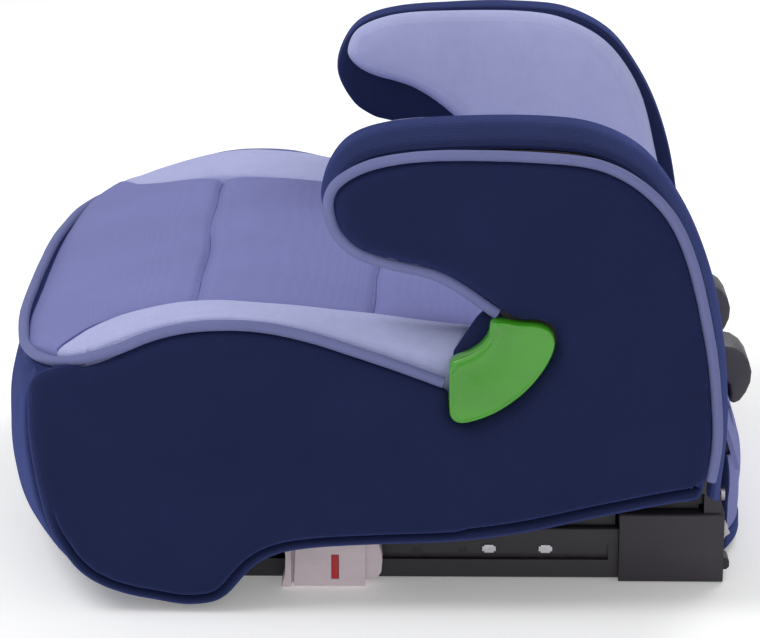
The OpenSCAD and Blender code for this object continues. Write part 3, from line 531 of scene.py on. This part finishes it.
THREAD = fabric("seam_thread", linear(30, 34, 62), 0.1, 0.35, fleck=0.0)
LILAC_THREAD = fabric("lilac_thread", linear(104, 106, 156), 0.1, 0.35, fleck=0.0)


# ---------- Pieces ----------


def piece(name, verts, faces, body, slot, node=None, fill=None, material=None, side=1, sharp=50):
    """Makes an object of a closed mesh in mm. side -1 mirrors it to the child's right."""
    v = np.array(verts, float) * MM
    if side < 0:
        v[:, 0] *= -1
        faces = [tuple(reversed(f)) for f in faces]
    mesh = bpy.data.meshes.new(name)
    mesh.from_pydata(v.tolist(), [], [tuple(int(i) for i in f) for f in faces])
    mesh.update()
    bm = bmesh.new()
    bm.from_mesh(mesh)
    bmesh.ops.recalc_face_normals(bm, faces=bm.faces)
    bm.to_mesh(mesh)
    bm.free()
    mesh.shade_smooth()
    mesh.set_sharp_from_angle(angle=math.radians(sharp))
    obj = bpy.data.objects.new(name, mesh)
    scene.collection.objects.link(obj)
    mesh.materials.append(material or MATERIALS[slot])
    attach(obj, body)
    if node:
        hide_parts(node)
    return obj


seat_z = curve(SEAT_LINE)
front_y = curve(CORD_FRONT)
share_at = curve(BULGE_SHARE)
crest_z = curve(BOLSTER_CREST)
outer_z = curve(BOLSTER_OUTER)
plan_x = curve(BOLSTER_PLAN, 6)
seam_x = curve([(y, x) for x, y in CORNER_SEAM], 6)


def quilt_line(k):
    x = np.linspace(-150, 150, 121)
    return np.column_stack([x, QUILT_YS[k] + 1.6 * np.sin(x / 47 + 1.3 * k) + 0.7 * np.sin(x / 17 + k)])


def quilt_offset(p):
    """Depth of the sewn channels and fullness of the pads between them."""
    x, y = p[:, 0], p[:, 1]
    out = np.zeros(len(p))
    nearest = np.full(len(p), 1e3)
    for k in range(len(QUILT_YS)):
        line = quilt_line(k)
        away = np.abs(y - np.interp(x, line[:, 0], line[:, 1]))
        nearest = np.minimum(nearest, away)
        depth = 2.6 + 0.5 * np.sin(x / 31 + 2 * k)
        out -= depth * np.exp(-((away / 2.4) ** 2)) + 0.9 * np.exp(-((away / 9) ** 2))
        # short tucks that the stitching draws up on both sides
        out += 0.22 * np.sin(x / 2.3 + 3 * np.sin(x / 19)) * np.exp(-((away / 5) ** 2)) * (away > 1)
    return out + 1.3 * (1 - np.exp(-nearest / 22))


def seat_top(p, d):
    """Height of the seat's middle cover at a distance from its own edge."""
    y = p[:, 1]
    valley = np.clip((y + 192) / 60, 0.3, 1)
    sides = 2.4 * np.exp(-d / 2.6) + 0.8 * np.exp(-d / 9)
    roll = 1.4 * np.exp(-((y - panel_front(np.abs(p[:, 0]))) / 3.5))
    return (seat_z(y) + quilt_offset(p) - valley * sides - roll
            + 0.28 * ripple(p, 26, 3) + 0.35 * ripple(p, 60, 8))


def panel_front(x):
    return front_y(x) + CORD_R - 0.6 + 0.05 * np.maximum(0, x - 168)


def centre_panel():
    xs = np.linspace(0, 190, 60)
    front = np.column_stack([xs, panel_front(xs)])
    back = spline(CORNER_SEAM, 3)[::-1]
    half = np.vstack([front, back, [(SEAM_X + 0.3, -60), (SEAM_X, 0), (SEAM_X, 186)]])
    outline = np.vstack([half, (half * (-1, 1))[:0:-1]])
    lines = [quilt_line(k) for k in range(len(QUILT_YS))]
    verts, faces = panel(outline, 0, 1, seat_top, 3.2, (0.5, 1.1, 1.9, 3.0, 4.4, 6.2), lines)
    under = verts[:, 0] == 0
    verts = verts[:, [1, 2, 0]]
    verts[under, 2] = seat_z(verts[under, 1]) - PAD_T
    piece("centre_panel_cover", verts, faces, "seat", "lilac_fabric", "centre_panel", 0.7)
    verts, faces = [], []
    for line in lines:
        line = line[np.abs(line[:, 0]) < 143]
        path = np.column_stack([line, seat_z(line[:, 1]) + quilt_offset(line) + 0.1])
        v, f = stitches(path, (0, 0, 1), 3.0, 4.2, 0.3)
        faces += [tuple(i + len(verts) for i in q) for q in f]
        verts += list(v)
    piece("quilt_stitches", verts, faces, "seat", "lilac_fabric", material=LILAC_THREAD)


def bolster(side):
    sections = []
    start, end = -173.4, 56
    ys = np.concatenate([[start, -173, -172.2, -171], np.arange(-169.6, -148, 1.6), np.arange(-147, end, 2.6),
                         [end]])
    for y in ys:
        x0, x1 = seam_x(y) + 0.4, plan_x(y) - 0.4
        tip = 3.0 * np.exp((start - y) / 1.8)
        z0, z1, crest = seat_z(y) - 2 - tip, outer_z(y), crest_z(y) - tip
        base = max(seat_z(y) - DECK_DROP + 0.5, 123 if y < -169 else 0)
        w = x1 - x0
        top = spline([(x1, z1 - 2.2), (x0 + 0.97 * w, z1 + 0.35 * (crest - z1)),
                      (x0 + 0.88 * w, crest - 0.30 * (crest - z1)), (x0 + 0.72 * w, crest),
                      (x0 + 0.5 * w, crest - 0.02 * (crest - z0)), (x0 + 0.3 * w, z0 + 0.8 * (crest - z0)),
                      (x0 + 0.12 * w, z0 + 0.48 * (crest - z0)), (x0 + 0.03 * w, z0 + 0.2 * (crest - z0)),
                      (x0, z0 - 0.6)], 3)
        spots = np.column_stack([top[:, 0], np.full(len(top), y), top[:, 1]])
        fade = np.sin(np.linspace(0, np.pi, len(top))) ** 0.5
        spots[:, 2] += fade * (0.35 * ripple(spots, 24) + 0.4 * ripple(spots, 55))
        below = np.column_stack([np.linspace(x0, x1, 4), np.full(4, y), np.full(4, base)])
        sections.append(np.vstack([spots, below]))
    piece(f"bolster_pad_{side}", *loft(sections), "seat", "pale_lilac_fabric", f"bolster_{side}", 0.7,
          side=SIDES[side])


def front_pad():
    outer = spline(FRONT_LINE, 5)[::-1]
    outer = outer[outer[:, 1] < 130]
    inner = spline([(y - 0.7, z - 0.5) for y, z in SHELL_FRONT], 2)
    half = np.concatenate([np.linspace(0, 176, 36), np.linspace(180, 194, 8),
                           [196, 197.5, 198.7, 199.5, FRONT_HALF]])
    sections = []
    for x in np.concatenate([-half[:0:-1], half]):
        bulge = FRONT_BULGE * (1 - (abs(x) / HALF_W) ** 2)
        lip = front_y(min(abs(x), 196)) - CORD_R + 11
        middle = abs(x) < SEAM_X
        y, z = outer[:, 0] - bulge * share_at(outer[:, 1]), outer[:, 1]
        # the top edge comes forward to lie under the piping
        edge = front_y(min(abs(x), 196)) - 0.6
        y += np.clip((z - 112) / 17, 0, 1) ** 2 * (np.minimum(y, edge) - y)
        roll = 2.6 * np.exp(-(FRONT_HALF - abs(x)) / 2.2)
        tuck = 0.8 * np.exp(-(133.2 - z) / 3.5)
        spots = np.column_stack([np.full(len(y), x), y, z])
        puff = 0.45 * ripple(spots, 30) + 0.5 * ripple(spots, 70)
        spots[:, 1] += roll + tuck - puff
        lift = 2.9 * (abs(x) / 184) ** 6
        # over the top, under the middle cover's edge, and down in front of the shell
        top = [(x, min(-184 - bulge * 0.62 + roll + 1.6, edge + 0.8), 134 + 0.3 * lift),
               (x, lip, 135 + lift), (x, lip + 0.2, 123 if middle else 122.6),
               (x, -172.7, 133 if middle else 122), (x, -172.8, 119)]
        back = np.column_stack([np.full(len(inner), x), inner])
        sections.append(np.vstack([spots, top, back]))
    piece("front_cover", *loft(sections), "seat", "navy_fabric", "front_pad", 0.7)


SIDE_OUTLINE = np.vstack([spline(HEM_LINE, 2), spline(SEAT_SEAM, 2), GUIDE_NOTCH, spline(ARM_SEAM, 2)])
SIDE_EDGE = moved(SIDE_OUTLINE, 2 * CORD_R + 0.4)
front_top = np.flatnonzero((SIDE_EDGE[:, 0] < -163) & (SIDE_EDGE[:, 1] > 116))
SIDE_EDGE = np.vstack([SIDE_EDGE[: front_top[0]], SIDE_CORNER, SIDE_EDGE[front_top[-1] + 1:]])
HEM_EDGE = spline(SIDE_EDGE[: front_top[0]], 3)


def side_height(p, d):
    """The cover is full in the middle, rolls in at the piping, and has a sewn hem along its lower edge."""
    full = 3.2 + 5.6 * (1 - np.exp(-d / 3.2)) + 1.0 * (1 - np.exp(-d / 45))
    hem = distance_to(p, HEM_EDGE, closed=False)
    shift = 1.2 / (1 + np.exp(-(p[:, 0] - STEP_Y) / 0.8))
    low = p[:, 1] < 110
    wide = HEM_WIDTH + shift
    # the hem fades out where it runs up the front edge
    strength = np.clip((62 - p[:, 1]) / 30, 0, 1) + np.clip((p[:, 0] + 100) / 40, 0, 1)
    strength = np.clip(strength, 0, 1) * low
    band = 2.2 + 4.6 * np.sqrt(np.clip(1 - ((hem - 0.5 * wide) / (0.5 * wide)) ** 2, 0, 1))
    groove = np.exp(-(((hem - wide) / 1.1) ** 2))
    pucker = (0.55 * np.sin(p[:, 0] / 1.55) * np.exp(-(((hem - wide - 2.5) / 3.2) ** 2))
              * np.exp(-(((p[:, 0] + 160) / 22) ** 2)) * (p[:, 1] < 60))
    out = np.where(hem < wide, full + strength * (np.minimum(full, band) - full), full)
    out = out - strength * 2.4 * groove
    out -= strength * 0.9 * np.exp(-(((p[:, 0] - STEP_Y) / 0.9) ** 2)) * (hem < wide)
    out += 0.35 * ripple(p, 34, 21) + 0.5 * ripple(p, 80, 22) + pucker
    return np.maximum(out, 1.2)


def side_panel(side):
    edge = spline(SIDE_EDGE, 3, closed=True)
    piece(f"side_cover_{side}", *panel(edge, PANEL_X, 1, side_height, 3.4,
                                       (0.5, 1.1, 1.9, 2.9, 4.0, 5.0, 5.9, 6.7, 7.5, 8.5, 10, 12.5)),
          "seat", "navy_fabric", f"side_panel_{side}", 0.6, side=SIDES[side])
    line = moved(HEM_EDGE, HEM_WIDTH, closed=False)
    line = spaced(line[(line[:, 1] < 60) & (line[:, 0] > -172)], 1.0)
    path = np.column_stack([PANEL_X + side_height(line, distance_to(line, edge)) + 0.35, line])
    path[:, 2] += 1.2 / (1 + np.exp(-(path[:, 1] - STEP_Y) / 0.8))
    piece(f"hem_stitches_{side}", *stitches(path, (1, 0, 0), 2.8, 3.9, 0.3), "seat", "navy_fabric",
          material=THREAD, side=SIDES[side])


def arm_gusset(side):
    outline = np.vstack([spline(ARM_OUTLINE, 3), [(190, 58), (62, 58)]])
    inward = mitres(outline)
    keep = slice(0, len(outline) - 1)
    steps = 5
    base, way = spline(outline[keep], steps), spline(inward[keep], steps)
    along = np.concatenate([[0], np.cumsum(np.linalg.norm(np.diff(base, axis=0), axis=1))])
    rows = []
    for x, depth in spline(STRIP_SECTION, 3):
        share = min(1, max(0, (x - RIM_X) / (FRAME_X - RIM_X)))
        free = np.sin(np.pi * share)
        spots = np.column_stack([np.full(len(base), x), base])
        # gathers where the strip turns under the nose and into the crotch
        under_nose = np.exp(-(((base[:, 0] - 5) / 26) ** 2)) * (base[:, 1] < 212)
        turn = np.exp(-(((base[:, 0] - 58) / 12) ** 2) - ((base[:, 1] - 166) / 22) ** 2)
        folds = 0.8 * np.sin(along / 2.6 + 3 * share) * under_nose * max(0, free) ** 0.7
        folds += 0.7 * np.sin(along / 2.2 - 2 * share) * turn * max(0, free) ** 0.7
        soft = 0.45 * ripple(spots, 28) + 0.5 * ripple(spots, 75)
        depths = depth - free * soft + 0.6 * folds
        rows.append(np.column_stack([np.full(len(base), x), base + way * depths[:, None]]))
    hidden = 9.4
    for x in (RIM_X - 0.9, FRAME_X):
        rows.append(np.column_stack([np.full(len(base), x), base + way * hidden]))
    sections = np.array(rows).transpose(1, 0, 2)
    piece(f"arm_strip_{side}", *loft(sections), "seat", "navy_fabric", f"arm_gusset_{side}", 0.6,
          side=SIDES[side])


def arm_face(side):
    """The cover goes on over the armrest's inner face, below the lining."""
    outline = moved(spline(ARM_OUTLINE, 3), 1.5, closed=False)
    outline = outline[outline[:, 1] > 119]

    def height(p, d):
        return 0.8 + 1.6 * (1 - np.exp(-d / 1.8)) + 0.25 * ripple(p, 24, 45)

    piece(f"arm_face_{side}", *panel(outline, RIM_X - 0.2, -1, height, 6.0), "seat", "navy_fabric", fill=0.6,
          side=SIDES[side])


def arm_tab(side):
    """End of the armrest's strip, tucked down behind the belt guide."""
    outline = spline(TAB_OUTLINE, 4, closed=True)

    def height(p, d):
        fold = 0.5 * np.sin((p[:, 0] + p[:, 1]) / 3.2)
        return 1.0 + 6.2 * (1 - np.exp(-d / 3.0)) + fold * (1 - np.exp(-d / 3))

    piece(f"arm_tab_{side}", *panel(outline, FRAME_X - 6.5, 1, height, 2.6), "seat", "navy_fabric", fill=0.6,
          side=SIDES[side])


def arm_lining(side):
    def height(p, d):
        full = 0.4 + 5.4 * (1 - np.exp(-d / 2.6)) + 1.1 * (1 - np.exp(-d / 22))
        return full + 0.3 * ripple(p, 30, 41) + 0.35 * ripple(p, 65, 42)

    outline = moved(spline(LINING_OUTLINE, 6, closed=True), 1.6)
    piece(f"arm_lining_pad_{side}", *panel(outline, RIM_X - 2.2, -1, height), "seat", "pale_lilac_fabric",
          f"arm_lining_{side}", 0.6, side=SIDES[side])


def cord_radius(path):
    return CORD_R * (1 + 0.03 * ripple(path, 7) + 0.03 * ripple(path, 23))


def arm_piping(side):
    line = spline(moved(spline(ARM_SEAM, 2), CORD_R, closed=False), 4)
    path = spaced(np.column_stack([np.full(len(line), CORD_X), line]), 1.8)
    piece(f"arm_cord_{side}", *tube(path, cord_radius(path), 16, (1, 0, 0)), "seat", "piping_fabric",
          f"arm_piping_{side}", side=SIDES[side])


def seat_piping():
    flat = ([(CORD_X, y, z) for y, z in CORD_SIDE]
            + [(CORD_X - 1.5, -153, 145.8), (CORD_X - 5, -165, 142.3), (CORD_X - 10, -174, 140.4)]
            + [(x, front_y(x), 136.6 + 2.7 * (x / 184) ** 6) for x in (184, 172, 150, 120, 90, 60, 30)]
            + [(0, front_y(0), 136.6)])
    whole = flat + [(-x, y, z) for x, y, z in reversed(flat[:-1])]
    path = spaced(spline(whole, 6), 1.8)
    piece("seat_cord", *tube(path, cord_radius(path), 16, (0, 0.1, 1)), "seat", "piping_fabric",
          "seat_piping")


def belt_guide(side):
    outline = spline(GUIDE_OUTLINE, 8, closed=True)
    throat = spline([GUIDE_OUTLINE[i] for i in (14, 15, 16, 17, 18, 0)], 8)

    def height(p, d):
        """A shallow dish that falls towards the belt's throat and turns over it in a smooth lip."""
        t = distance_to(p, throat, closed=False)
        dish = 3.6 * np.exp(-((t / 17) ** 2)) * (1 - np.exp(-d / 5))
        lip = 2.2 * np.exp(-(((t - 1.8) / 2.6) ** 2))
        rim = 0.5 * np.exp(-(((d - 0.9) / 0.7) ** 2))
        return 10.6 - 1.0 * np.exp(-d / 0.5) + rim - dish + lip

    piece(f"guide_fan_{side}", *panel(outline, PANEL_X + 0.5, 1, height, 2.0,
                                      (0.3, 0.7, 1.2, 1.8, 2.5, 3.4, 4.6, 6)),
          "seat", "green_plastic", f"belt_guide_{side}", side=SIDES[side], sharp=70)


def spans(stops, gap):
    """Places through all the stops, about gap apart."""
    out = [stops[0]]
    for a, b in zip(stops, stops[1:]):
        out += list(np.linspace(a, b, max(2, round((b - a) / gap) + 1))[1:])
    return np.array(out)


def rear_flap():
    flap = spline(FLAP_LINE, 8)[::-1]

    def y_at(z):
        return np.interp(z, flap[:, 1], flap[:, 0])

    def swell(x, z):
        """The cloth is pulled round the seat's corners, so it is crowned across its width."""
        p = np.array([(x, z, 0.0)])
        low = min(1, max(0, (118 - z) / 50))
        if z < FLAP_NOTCH_Z:
            crown = 4.2 - 11.5 * (max(0, abs(x) - 70) / 47) ** 2
        else:
            crown = 4.2 - 6 * (abs(x) / FLAP_HALF) ** 2
        hang = 4 * max(0, (34 - z) / 28)
        return 0.3 * ripple(p, 26)[0] + 0.5 * ripple(p, 60)[0] + low * crown + hang

    def cloth(x, z):
        """Where the flap has cloth: not in the lower corners' notches, nor in the slots for the hooks."""
        slot = SLOT_X[0] < abs(x) < SLOT_X[1] and SLOT_Z[0] < z < SLOT_Z[1]
        return (z > FLAP_NOTCH_Z or abs(x) < FLAP_LOW_HALF) and not slot

    half = [*SLOT_X, FLAP_LOW_HALF, FLAP_HALF]
    xs = spans([-x for x in half[::-1]] + half, 3.4)
    zs = spans([FLAP_BOTTOM_Z, 20, FLAP_NOTCH_Z, *SLOT_Z, FLAP_TOP_Z], 3.0)
    sheet = piece("rear_flap_cloth", *thick_cells(
        xs, zs, lambda x, z: y_at(z) - 0.8 + swell(x, z), lambda x, z: y_at(z) - 3.6 + swell(x, z), cloth),
        "seat", "lilac_fabric", "rear_flap")

    def border(x, z):
        """Rounds the binding at both of its edges."""
        across = BINDING_OUT - abs(x)
        if z > BINDING_TOP:
            across = min(across, abs(x) - BINDING_IN)
        up = z - BINDING_LOW
        if z <= BINDING_TOP and abs(x) < BINDING_IN:
            up = min(up, BINDING_TOP - z)
        return 1 - math.exp(-max(min(across, up), 0) / 0.7)

    edge = [BINDING_OUT, BINDING_OUT - 0.4, BINDING_OUT - 1.4, BINDING_OUT - 2.6, BINDING_IN]
    bx = np.concatenate([[-x for x in edge], spans([-BINDING_IN, BINDING_IN], 4)[1:-1], edge[::-1]])
    bz = np.concatenate([[BINDING_LOW, 5.4, 7, 10, 14, 15.4, BINDING_TOP],
                         spans([BINDING_TOP, FLAP_NOTCH_Z - 0.2], 4)[1:]])
    binding = piece("rear_flap_binding", *thick_cells(
        bx, bz, lambda x, z: y_at(z) - 1.2 + swell(x, z) + 1.3 * border(x, z),
        lambda x, z: y_at(z) - 4.0 + swell(x, z) - 1.6 * border(x, z),
        lambda x, z: z < BINDING_TOP or abs(x) > BINDING_IN), "seat", "navy_fabric")


def softened(node, body, slot, width_mm, finish=None):
    """The moulding's own shape with its edges rounded, as a mould leaves them."""
    bm = bmesh.new()
    bm.from_mesh(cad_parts[node].data)
    bmesh.ops.remove_doubles(bm, verts=bm.verts, dist=2e-6)
    bmesh.ops.dissolve_limit(bm, angle_limit=math.radians(0.5), verts=bm.verts, edges=bm.edges)
    mesh = bpy.data.meshes.new(f"{node}_moulding")
    bm.to_mesh(mesh)
    bm.free()
    mesh.materials.clear()
    mesh.materials.append(MATERIALS[finish or slot])
    mesh.shade_smooth()
    obj = bpy.data.objects.new(f"{node}_moulding", mesh)
    scene.collection.objects.link(obj)
    bevel = obj.modifiers.new("edges", "BEVEL")
    bevel.width = width_mm * MM
    bevel.segments = 3
    bevel.limit_method = "ANGLE"
    bevel.angle_limit = math.radians(40)
    bevel.use_clamp_overlap = True
    bevel.harden_normals = True
    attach(obj, body)
    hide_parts(node)


centre_panel()
front_pad()
seat_piping()
rear_flap()
for side in SIDES:
    bolster(side)
    side_panel(side)
    arm_gusset(side)
    arm_face(side)
    arm_tab(side)
    arm_lining(side)
    arm_piping(side)
    belt_guide(side)
    softened(f"rear_housing_{side}", "seat", "grey_plastic", 1.0)
    # the hooks take the lighter copy of their grey plastic, as painted light
    softened(f"backrest_hook_{side}", "seat", "grey_plastic", 1.6, "hook_plastic_painted_light")
    softened(f"release_grip_{side}", f"grip_{side}", "light_plastic", 0.7)
    softened(f"release_mark_{side}", f"grip_{side}", "red_plastic", 0.5)

CAD_FINISH = {
    "seat_shell": "black_plastic", "seat_foam": "foam", "cross_tube": "steel", "front_feet": "rubber",
    "arm_frame": "black_plastic", "arm_core": "foam", "guide_screws": "steel", "arm_screws": "steel",
    "anchor_rail": "black_plastic", "rail_rivets": "bright_steel", "rail_screws": "steel",
    # the anchor arm takes the darkened steel, as painted shade inside the rail's slot
    "anchor_arm": "steel_painted_slot_shade", "anchor_jaws": "steel", "hook_pin": "bright_steel",
    "jaw_tip": "black_plastic", "grip_spring": "bright_steel", "anchor_hook": "bright_steel",
    "release_rod": "steel",
}
for name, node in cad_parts.items():
    finish = CAD_FINISH.get(name) or CAD_FINISH.get(name.rsplit("_", 1)[0])
    if finish:
        for slot in node.material_slots:
            slot.material = MATERIALS[finish]

# ---------- Studio ----------


def area_light(name, at, aim, size, watts, colour=(1, 1, 1)):
    data = bpy.data.lights.new(name, "AREA")
    data.shape = "DISK"
    data.size = size
    data.energy = watts
    data.color = colour
    light = bpy.data.objects.new(name, data)
    light.location = at
    light.rotation_euler = (Vector(aim) - Vector(at)).to_track_quat("-Z", "Y").to_euler()
    scene.collection.objects.link(light)


def studio():
    floor_mesh = bpy.data.meshes.new("floor")
    reach = 12
    floor_mesh.from_pydata([(-reach, -reach, 0), (reach, -reach, 0), (reach, reach, 0), (-reach, reach, 0)],
                           [], [(0, 1, 2, 3)])
    floor = bpy.data.objects.new("floor", floor_mesh)
    scene.collection.objects.link(floor)
    s = Surface("pale_floor", 0.9)
    tone = s.mix(s.noise(3, 2), (0.985, 0.985, 0.985, 1), (1.0, 1.0, 1.0, 1))
    s.shader.inputs["Emission Color"].default_value = (1, 1, 1, 1)
    s.shader.inputs["Emission Strength"].default_value = 0.2
    floor_mesh.materials.append(s.finish(Base_Color=tone))
    floor.location.z = -0.0002
    world = bpy.data.worlds.new("studio")
    world.use_nodes = True
    world.node_tree.nodes["Background"].inputs["Color"].default_value = (1, 1, 1, 1)
    world.node_tree.nodes["Background"].inputs["Strength"].default_value = 0.50
    scene.world = world
    area_light("key", (0.5, -1.3, 2.0), (0, 0, 0.12), 1.3, 22)
    area_light("fill", (2.4, 0.7, 1.2), (0, 0, 0.12), 1.6, 8)
    area_light("back", (-1.4, 0.9, 1.7), (0, 0, 0.15), 1.2, 14)
    scene.view_settings.view_transform = "Standard"


CAMERA_AT = (1.8588, 0.0237, 0.6473)
CAMERA_AIM = (0, 0, 0.10896)
CAMERA_LENS = 151.6


def camera():
    data = bpy.data.cameras.new("camera")
    data.lens = CAMERA_LENS
    data.sensor_width = 36
    data.clip_end = 50
    cam = bpy.data.objects.new("camera", data)
    cam.location = CAMERA_AT
    cam.rotation_euler = (Vector(CAMERA_AIM) - cam.location).to_track_quat("-Z", "Y").to_euler()
    scene.collection.objects.link(cam)
    scene.camera = cam


studio()
camera()
